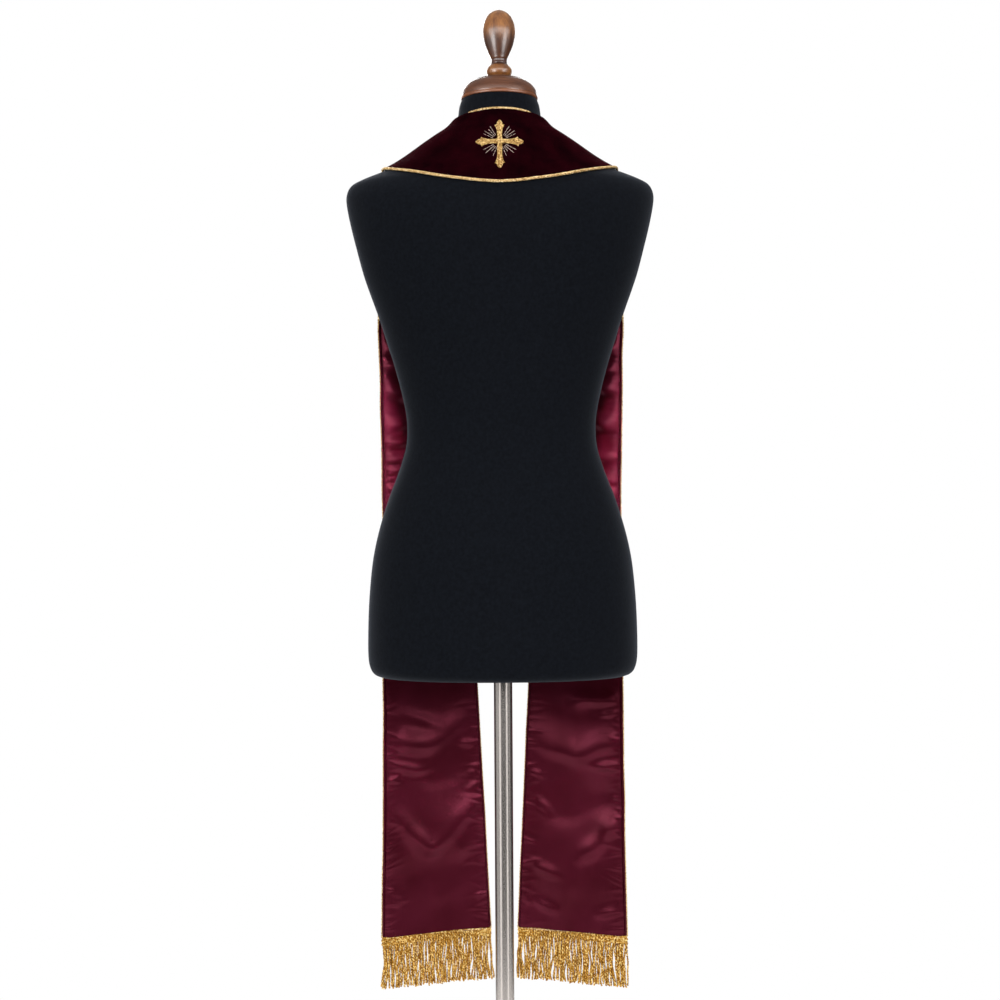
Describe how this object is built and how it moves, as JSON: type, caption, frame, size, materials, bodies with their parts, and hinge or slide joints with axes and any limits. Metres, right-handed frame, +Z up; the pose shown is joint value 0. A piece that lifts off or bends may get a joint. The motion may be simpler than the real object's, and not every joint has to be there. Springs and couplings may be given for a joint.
{
  "type": "clerical stole on a limbless dress form",
  "caption": "Velvet clerical stole with satin lining, gold cord, cross and bullion fringe, laid over a limbless dress form on a round steel stand.",
  "frame": {"origin": "centre of the round foot's underside, on the floor", "axes": "+Z up along the pole; the stole's panels hang on the -Y side and the cross lies on the back, on the +Y side; +X is the wearer's left"},
  "size_m": [0.4, 0.4, 1.6264],
  "materials": {
    "velvet": "deep wine cotton velvet, short pile",
    "satin": "burgundy satin, soft sheen",
    "gold_cord": "twisted gold rayon cord",
    "gold_fringe": "twisted gold bullion",
    "gold_embroidery": "gold satin stitch",
    "jersey": "fine blue-black jersey, matt",
    "wood": "turned and lacquered",
    "steel": "brushed"
  },
  "bodies": {
    "root": {"velvet_left": "velvet", "velvet_right": "velvet", "lining_left": "satin", "lining_right": "satin", "inner_cord_left": "gold_cord", "inner_cord_right": "gold_cord", "outer_cord_left": "gold_cord", "outer_cord_right": "gold_cord", "fringe_left": "gold_fringe", "fringe_right": "gold_fringe", "cross": "gold_embroidery", "form_torso": "jersey", "neck_cap": "wood", "finial": "wood", "pole": "steel", "base_collar": "steel", "base_plate": "steel"}
  },
  "joints": []
}
